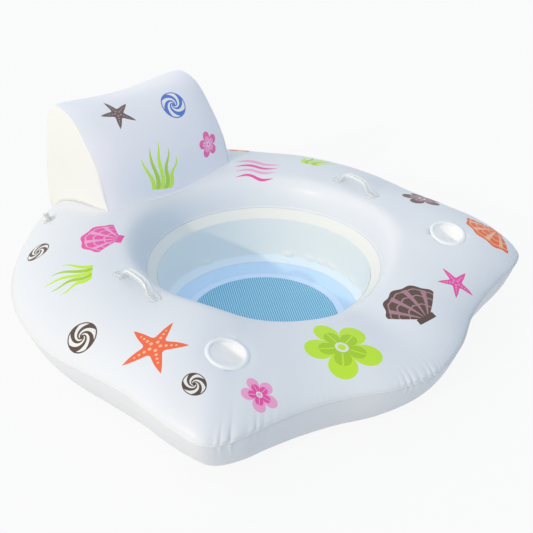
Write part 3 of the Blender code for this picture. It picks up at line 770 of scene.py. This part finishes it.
def backrest_strip():
    """The strip's grid, column by column across it, each from its front foot over the crown to its back foot.

    The end seams gather it like the ring's weld, most on the crown. A narrow fin stands out beyond each seam,
    and at each foot a strip lies on the ring.
    """
    rows = smooth_through(profile_shares, 500)
    shares = np.sin(np.linspace(-1, 1, 65) * math.pi / 2)
    lines, lengths = zip(*(trimmed(wrap_point(share, rows), 130) for share in shares))
    points = np.stack(lines)
    along = np.linspace(0, 1, 130)[None, :]
    place = seam_folds[0] + (seam_folds[-1] - seam_folds[0]) * along
    sharp = 1 + 1.6 * bell(along - 0.47, 0.13) + 1.2 * bell(along - 0.72, 0.06)
    square = np.cross(np.gradient(points, axis=1), np.gradient(points, axis=0))
    square /= np.linalg.norm(square, axis=-1, keepdims=True)
    from_seam = (1 - np.abs(shares))[:, None] * backrest_width / 2
    push = gathers(place, seam_folds, seam_depth) * sharp * np.exp(-from_seam / 0.016)
    points = points + push[..., None] * square
    side = np.array((1.0, 0, 0)) * np.sign(shares[[0, -1]])[:, None, None]
    out = square[[0, -1]] * np.array((0, 1, 1)) * 0.8 + side * 0.6
    fins = points[[0, -1]] + fin * out * np.clip(np.sin(math.pi * along[0, :, None]) * 8, 0, 1)
    points = np.concatenate((fins[:1], points, fins[1:]))
    shares = np.concatenate(((-1,), shares, (1,)))
    for end, outwards in ((0, -1), (-1, 1)):
        x, y = points[:, end, 0], points[:, end, 1]
        room = np.clip(reach(np.arctan2(y, x)) - np.hypot(x, y), 0.0002, 0.006)
        away = (outwards * room)[:, None] * np.array((0, 1, 0))
        strip = on_sheet(points[:, end] + away, 0.0006)[:, None]
        bend = on_sheet(points[:, end] + 0.2 * away, 0.0007)[:, None]
        points = np.concatenate((strip, bend, points) if end == 0 else (points, bend, strip), 1)
    length = np.concatenate((lengths[:1], lengths, lengths[-1:]))[:, None]
    length = length * np.linspace(0, 1, points.shape[1])
    uv = np.stack((np.broadcast_to(shares[:, None] * backrest_width / 2, length.shape), length), -1)
    return points, uv


strip_points, strip_uv = backrest_strip()
# Its glow is painted light, standing in for light that comes through the sheet.
printed_strip = vinyl_look("printed_strip", (0.875, 0.90, 0.945), (0.88, 0.855, 0.945), 0.42, painted_glow=0.06)
ink = Ink(printed_strip)
# Shape, place across the backrest and up from its front foot, half size, turn and two inks
for shape, across, up, size, turned_by, *inks in (
    ("snail", 0.075, 0.215, 0.040, 20, blue, paper),
    ("starfish", -0.085, 0.235, 0.046, 15, brown, mauve),
    ("grass", -0.035, 0.090, 0.066, -8, lime, lime_dark),
    ("blossom", 0.130, 0.085, 0.034, 0, hot_pink, pink),
    ("scallop", 0.110, 0.480, 0.056, 195, coral, coral_pale),
    ("snail", -0.120, 0.470, 0.034, 60, brown, paper),
):
    getattr(ink, shape)(*ink.square((across, up), size, math.radians(turned_by)), *inks)
seat_piece("backrest_strip", strip_points, printed_strip, "white_vinyl", "backrest_wrap_panel", uv=strip_uv)


def gusset(side):
    """An end panel between its foot on the ring and its seam, column by column from front to back.

    It bulges by the power of a sine up each column, as far as the column is high, and takes the seam's folds.
    """
    seam = strip_points[1 if side < 0 else -2, 2:-2]
    along = np.linspace(0, 1, len(seam))[:, None]
    foot = on_sheet(seam[0] + (seam[-1] - seam[0]) * (0.5 - 0.5 * np.cos(math.pi * along)), -0.0015)
    up = np.sin(math.pi / 2 * np.linspace(0, 1, 30))[None, :]
    points = foot[:, None] + (seam - foot)[:, None] * up[..., None]
    tall = np.linalg.norm(seam - foot, axis=1)[:, None]
    bulge = gusset_bulge * (tall / tall.max()) ** 0.8 * np.sin(math.pi * up ** 1.15).clip(0) ** 0.8
    place = seam_folds[0] + (seam_folds[-1] - seam_folds[0]) * along
    folds = gathers(place, seam_folds, seam_depth) * fade((1 - up) * tall, 0.016, 0.002)
    points[..., 0] += side * (0.0006 + bulge + 1.4 * folds * np.clip(np.sin(math.pi * along) * 4, 0, 1))
    return points


for side, word in ((-1, "left"), (1, "right")):
    seat_piece(
        word + "_gusset", gusset(side), cream_vinyl, "cream_vinyl", "backrest_" + word + "_gusset",
        poles=(True, True), flip=side < 0,
    )


# Cup holders. A round sleeve of cream vinyl hangs in a hole of the top sheet and ends in a round floor, which
# the air lifts a little. A rounded ring of thicker vinyl is welded over the edge of the hole.
cup_depth, cup_floor_dome, cup_thickness = 0.10, 0.003, 0.0005
# Both glows are painted light; the sleeve's brightens the shaded inside of each cup.
cup_vinyl = vinyl_look("cup_vinyl", (0.92, 0.925, 0.935), (0.90, 0.91, 0.925), 0.42, painted_glow=0.13)
rim_vinyl = vinyl_look("rim_vinyl", (0.92, 0.93, 0.95), (0.90, 0.915, 0.945), 0.34, painted_glow=0.04)
cup_angles = once_round(96)


def cup_sleeve(x, y, bottom):
    """A round wall down from the ring's surface. A sine puts slack folds round it, fading at its ends."""
    share = np.linspace(0, 1, 24)[None, :]
    radius = cup_radius - 0.0007 * np.abs(np.sin(4.5 * cup_angles)) ** 0.6 * np.sin(math.pi * share)
    points = on_sheet(round_grid(radius, cup_angles) + np.array((x, y, 0)))
    points[..., 2] += (bottom - points[..., 2]) * share
    return points


def cup_rim(x, y):
    """A round bead that follows the surface round the mouth and rolls over into the cup."""
    outwards = np.array((5.2, 5.1, 4.6, 3.7, 2.6, 1.4, 0.2, -1.2, -2.6, -3.3, -2.9, -1.7, -0.5)) / 1000
    lift = np.array((0.1, 0.9, 1.6, 2.2, 2.6, 2.9, 3.0, 2.7, 1.6, 0.0, -1.6, -2.6, -3.1)) / 1000
    return on_sheet(round_grid(cup_radius + outwards, cup_angles) + np.array((x, y, 0)), lift)


for (x, y), word in zip(cup_places, ("left", "right")):
    bottom = float(top_height(x, y)) - cup_depth
    floor = disc(cup_radius + 0.0005, bottom - 0.0003, 12, cup_angles, cup_floor_dome) + np.array((x, y, 0))
    for part, points, look, form in (
        ("sleeve", cup_sleeve(x, y, bottom), cup_vinyl, {"wraps": (True, False)}),
        ("floor", floor, cup_vinyl, {"wraps": (False, True), "poles": (False, True)}),
        ("rim", cup_rim(x, y), rim_vinyl, {"wraps": (True, False)}),
    ):
        seat_piece(
            word + "_" + part, points, look, "cream_vinyl", word + "_cup_" + part,
            thickness=cup_thickness, flip=True, **form,
        )


# Handles. One soft clear moulding each: two feet welded flat on the ring, and a grip with two ridges between
# them, arched so that fingers pass under it.
handle_place = (0.3436, 0.02463)
handle_length, handle_width, handle_rise = 0.150, 0.032, 0.030
# From an end to the middle: shares of half the length, of the rise below and above, of the width and ridges
handle_shares = np.array((
    (1.00, -0.30, 0.04, 0.50, 0.2), (0.93, -0.30, 0.12, 0.86, 0.2), (0.80, -0.30, 0.17, 1.00, 0.2),
    (0.68, -0.30, 0.24, 0.94, 0.3), (0.60, 0.00, 0.42, 0.80, 0.8), (0.52, 0.40, 0.68, 0.70, 1.0),
    (0.42, 0.68, 0.87, 0.66, 1.0), (0.26, 0.81, 0.97, 0.64, 1.0), (0.00, 0.86, 1.00, 0.64, 1.0),
))


def ring_frame(x, y):
    """Axes on the top sheet: the first towards the horns, the third square to the sheet."""
    step = 0.006
    slope_x = (top_height(x + step, y) - top_height(x - step, y)) / 2 / step
    slope_y = (top_height(x, y + step) - top_height(x, y - step)) / 2 / step
    up = np.array((-slope_x, -slope_y, 1)) / math.sqrt(slope_x ** 2 + slope_y ** 2 + 1)
    along = np.array((0, -1, 0)) + up * up[1]
    along /= np.linalg.norm(along)
    return np.stack((along, np.cross(up, along), up)), np.array((x, y, top_height(x, y)))


def boxed(wave, power):
    """A sine or cosine drawn out towards the corners of a square: its size to a power, with its sign."""
    return np.sign(wave) * np.abs(wave) ** power


def handle(x, y):
    """A rounded oblong section carried along the grip's arch, with two bell-shaped ridges on top.

    Where it would go into the ring it is lifted to lie on it, so the feet follow the sheet.
    """
    knots = np.concatenate((handle_shares * np.array((-1, 1, 1, 1, 1)), handle_shares[-2::-1]))
    along, under, over, half, ridge = smooth_through(knots, 121).T[..., None]
    turn = once_round(40).T
    across, up = boxed(np.cos(turn), 0.55), 0.5 + 0.5 * boxed(np.sin(turn), 0.55)
    crest = bell(np.abs(across) - 0.55, 0.17) * np.clip(up * 2 - 1, 0, 1)
    height = (under + (over - under) * up + 0.11 * crest * (0.35 + ridge)) * handle_rise
    lengthways = along * handle_length / 2 + 0 * across
    local = np.stack((lengthways, across * half * handle_width / 2, height), -1)
    ends = local[[0, -1]].mean(1, keepdims=True) + 0 * local[[0, -1]]
    local = np.concatenate((ends[:1], local, ends[1:]))
    axes, place = ring_frame(x, y)
    points = local @ axes + place
    points = np.maximum(points, on_sheet(points, 0.0004))
    # Painted highlight: whiter, more solid vinyl along the two ridges, handed to the finish through the print
    # map.
    ridge_glint = np.clip(crest * (0.2 + ridge) * 0.9, 0, 1)
    ridge_glint = np.concatenate((ridge_glint[:1], ridge_glint, ridge_glint[-1:]))
    ridge_glint = np.concatenate((ridge_glint, ridge_glint[:, :1]), 1)
    return points, np.stack((ridge_glint, 0 * ridge_glint), -1)


def clear_look(name, tint, roughness, solid, ridged=False):
    """Clear soft vinyl, through which most light goes straight on. Noise clouds it; milky ridges paint a
    highlight.
    """
    look, tree, shader = new_look(name, {"Base Color": (*tint, 1), "Roughness": roughness, "IOR": 1.5})
    place = add(tree, "TexCoord").outputs["Object"]
    cloud = add(tree, "TexNoise", {"Scale": 60.0, "Vector": place}).outputs["Fac"]
    spread = add(tree, "MapRange", {"To Min": solid * 0.8, "To Max": solid * 1.2, "Value": cloud})
    amount = Value(tree, spread.outputs["Result"])
    # Painted highlight: the ridges are made more solid, so they show whiter.
    if ridged:
        where = add(tree, "UVMap", uv_map="print").outputs["UV"]
        ridge_glint = Value(tree, add(tree, "SeparateXYZ", {"Vector": where}).outputs["X"])
        amount = (amount + ridge_glint).smaller(1.0)
    feed(tree, shader.inputs["Alpha"], amount)
    return look


grip_vinyl = clear_look("grip_vinyl", (0.93, 0.945, 0.94), 0.16, 0.30, ridged=True)
for side, word in ((-1, "left"), (1, "right")):
    points, ridge_glint = handle(side * handle_place[0], handle_place[1])
    seat_piece(
        word + "_grip", points, grip_vinyl, "clear_vinyl", word + "_handle",
        thickness=None, wraps=(False, True), uv=ridge_glint, poles=(True, True), flip=True,
    )


# Valves. Each is a clear moulding: a flange welded on the sheet, a stem that pushes in through it, a plug on
# a strap that hinges on the stem's collar, and a one-way flap under the stem.
flange_radius, flange_thickness = 0.017, 0.0012
stem_radius, stem_bore, stem_rise, stem_depth = 0.006, 0.004, 0.0165, 0.008
collar_radius, collar_thickness = 0.0075, 0.002
hinge_reach, knuckle_radius = 0.0098, 0.001
plug_thickness, pin_length, tab_length = 0.002, 0.0028, 0.005
strap_width, strap_thickness, flap_thickness, flap_radius = 0.005, 0.0012, 0.0008, 0.0055
clearance = 0.0003
valve_angles = once_round(64)
clear_vinyl = clear_look("clear_vinyl", (0.90, 0.915, 0.90), 0.2, 0.62)


def rounded(corners, radius, steps=4):
    """A closed outline of radius and height whose corners are cut round by short curves."""
    corners = np.array(corners, float)
    before, after = np.roll(corners, 1, 0) - corners, np.roll(corners, -1, 0) - corners
    before *= np.minimum(radius / np.linalg.norm(before, axis=1), 0.45)[:, None]
    after *= np.minimum(radius / np.linalg.norm(after, axis=1), 0.45)[:, None]
    t = np.linspace(0, 1, steps)[None, :, None]
    curve = corners[:, None] + before[:, None] * (1 - t) ** 2 + after[:, None] * t ** 2
    return curve.reshape(-1, 2)


def bar(low, high):
    """A soft-edged block as wide as the strap: a rounded square section with its ends drawn in."""
    low = np.array((low[0], -strap_width / 2, low[1]))
    high = np.array((high[0], strap_width / 2, high[1]))
    middle, half = (low + high) / 2, (high - low) / 2
    turn = once_round(24).T
    side, up = boxed(np.cos(turn), 0.4), boxed(np.sin(turn), 0.4)
    along = np.array((-1, -1, -0.96, -0.88, 0.88, 0.96, 1, 1))[:, None]
    size = np.array((0, 0.8, 0.94, 1, 1, 0.94, 0.8, 0))[:, None]
    return middle + np.stack((along * half[0] + 0 * side, side * size * half[1], up * size * half[2]), -1)


def lathe(profile, radius):
    """A closed profile with rounded corners, turned about the valve's axis."""
    return turned(rounded(profile, radius), valve_angles)


def flange_ring():
    """A flat ring with a rounded edge and two low circles on it."""
    across = np.array((0, 0, 0.05, 0.2, 0.28, 0.36, 0.44, 0.56, 0.64, 0.72, 0.9, 0.99, 1, 1))
    lift = np.array((0, 0.8, 1, 1, 1, 1.3, 1, 1, 1.3, 1, 1, 0.8, 0.5, 0)) * flange_thickness
    radius = flange_radius + (stem_radius + clearance - flange_radius) * across
    return turned(np.stack((radius, lift), -1), valve_angles)


def moulding(name, round_part, blocks, place, axes):
    """One mesh of a turned part and soft blocks, carried from the valve's own axes to its place."""
    meshes = [surface("round", round_part @ axes + place, (True, True))]
    for low, high in blocks:
        points = bar(low, high) @ axes + place
        meshes.append(surface("block", points, (False, True), poles=(True, True), flip=True))
    work = bmesh.new()
    for mesh in meshes:
        work.from_mesh(mesh)
    made = bpy.data.meshes.new(name)
    work.to_mesh(made)
    work.free()
    made.shade_smooth()
    return made


collar = stem_rise - collar_thickness
stem = lathe((
    (stem_radius, -stem_depth), (stem_radius, collar), (collar_radius, collar),
    (collar_radius, stem_rise), (stem_bore, stem_rise), (stem_bore, -stem_depth),
), 0.0005)
ear = (((stem_radius - 0.001, collar), (hinge_reach + knuckle_radius, stem_rise)),)
base, cap = stem_rise + clearance, stem_rise + clearance + plug_thickness
plug = lathe((
    (0.0002, base - pin_length), (0.0033, base - pin_length), (0.0036, base), (collar_radius, base),
    (collar_radius, cap), (0.0042, cap), (0.0036, cap - 0.0005), (0.0002, cap - 0.0005),
), 0.0004)
strap = (
    ((0, base), (hinge_reach + 0.0006, base + strap_thickness)),
    ((hinge_reach - knuckle_radius, base), (hinge_reach + knuckle_radius, base + 2 * knuckle_radius)),
    ((-collar_radius - tab_length, cap - strap_thickness), (-0.004, cap)),
)
top = -stem_depth - clearance
foot = top - flap_thickness
flap = lathe(((0.0002, foot), (flap_radius, foot), (flap_radius, top), (0.0002, top)), 0.0003)
# Place of each valve, the direction from its stem to its hinge, and the direction up out of the sheet
valve_frames = (
    (
        "ring", (-0.296518, 0.380727, 0.205823),
        (-0.102334, -0.944525, 0.312091), (-0.29429, 0.328441, 0.897508),
    ),
    ("backrest", (0.0, 0.565094, 0.300125), (0.0, 0.209107, -0.977893), (0.0, 0.977893, 0.209107)),
)
for word, place, along, up in valve_frames:
    axes = np.stack((along, np.cross(up, along), up))
    points = (flange_ring() + np.array((0, 0, 0.0004))) @ axes + place
    if word == "ring":
        straight = flange_ring() * np.array((1, 1, 0)) @ axes + place
        sheet = top_height(straight[..., 0], straight[..., 1] - seat_y)
        points[..., 2] += sheet - straight[..., 2]
    mesh = surface(word + "_flange", points, (True, True))
    piece(word + "_flange", mesh, clear_vinyl, word + "_valve_flange")
    for part, round_part, blocks in (("stem", stem, ear), ("plug", plug, strap), ("flap", flap, ())):
        name = word + "_" + part
        mesh = moulding(name, round_part, blocks, place, axes)
        piece(name, mesh, clear_vinyl, word + "_valve_" + part, body=name)


# Stage. A pale floor, a low broad light from the chair's left, where the photograph's light comes from, and
# an even cool sky, a little brighter from the left and from behind, and bluer on the right.
def seen(tree):
    """1 for the rays that show a background, straight, mirrored or passed through, and 0 for the others."""
    kinds = add(tree, "LightPath").outputs
    straight, mirrored, passed = (
        Value(tree, kinds[word]) for word in ("Is Camera Ray", "Is Glossy Ray", "Is Transmission Ray")
    )
    return straight.larger(mirrored).larger(passed)


def shown_white(tree, kind, lit, output, share):
    """Mixes what lights the chair with plain white, for a share of the rays that show the background."""
    white = add(tree, kind, {"Color": (1, 1, 1, 1)}).outputs[0]
    mix = add(tree, "MixShader")
    for entry, value in zip(mix.inputs, (seen(tree) * share, lit, white)):
        feed(tree, entry, value)
    feed(tree, output, mix.outputs["Shader"])


bpy.ops.mesh.primitive_plane_add(size=30)
ground = bpy.context.object
ground.name = "floor"
ground.location.z = -0.0005
look, tree, shader = new_look("pale_ground", {"Base Color": (0.70, 0.70, 0.70, 1), "Roughness": 0.9})
surface_input = tree.nodes["Material Output"].inputs["Surface"]
shown_white(tree, "Emission", shader.outputs["BSDF"], surface_input, 0.90)
ground.data.materials.append(look)

sky = bpy.data.worlds.new("sky")
bpy.context.scene.world = sky
sky.use_nodes = True
tree = sky.node_tree
around = add(tree, "TexCoord").outputs["Generated"]
lit = tree.nodes["Background"]


def by_direction(start, slope):
    """A value that changes evenly with the direction in the sky."""
    along = add(tree, "VectorMath", operation="DOT_PRODUCT")
    feed(tree, along.inputs[0], around)
    feed(tree, along.inputs[1], slope)
    return Value(tree, along.outputs["Value"]) + start


feed(tree, lit.inputs["Strength"], by_direction(0.79, (-0.32, 0.19, 0.08)))
warm_side, cool_side = (0.86, 0.90, 0.925, 1), (0.54, 0.77, 1.0, 1)
cool = by_direction(0.40, (0.45, -0.32, -0.16))
tone = add(tree, "Mix", {"Factor": cool, "A": warm_side, "B": cool_side}, data_type="RGBA")
feed(tree, lit.inputs["Color"], tone.outputs["Result"])
surface_input = tree.nodes["World Output"].inputs["Surface"]
shown_white(tree, "Background", lit.outputs["Background"], surface_input, 1.0)


def aimed(name, data, place, towards):
    """Puts a lamp or a camera at a place and turns it to look in a direction."""
    made = bpy.data.objects.new(name, data)
    made.location = place
    made.rotation_mode = "QUATERNION"
    made.rotation_quaternion = Vector(towards).to_track_quat("-Z", "Y")
    bpy.context.scene.collection.objects.link(made)
    return made


sun = bpy.data.lights.new("window", "SUN")
sun.energy = 0.95
sun.angle = math.radians(1.5)
sun.color = (1.0, 0.80, 0.52)
aimed("window", sun, (0, 0, 0), (1.0, 0.07, -0.46))
camera = bpy.data.cameras.new("camera")
camera.lens = 59.594
camera.sensor_width = 36
viewpoint = Vector((-1.2211, -1.3848, 1.2348))
eye = aimed("camera", camera, viewpoint, Vector((0.061, -0.0200, 0.1)) - viewpoint)
bpy.context.scene.camera = eye
bpy.context.scene.view_settings.view_transform = "Standard"
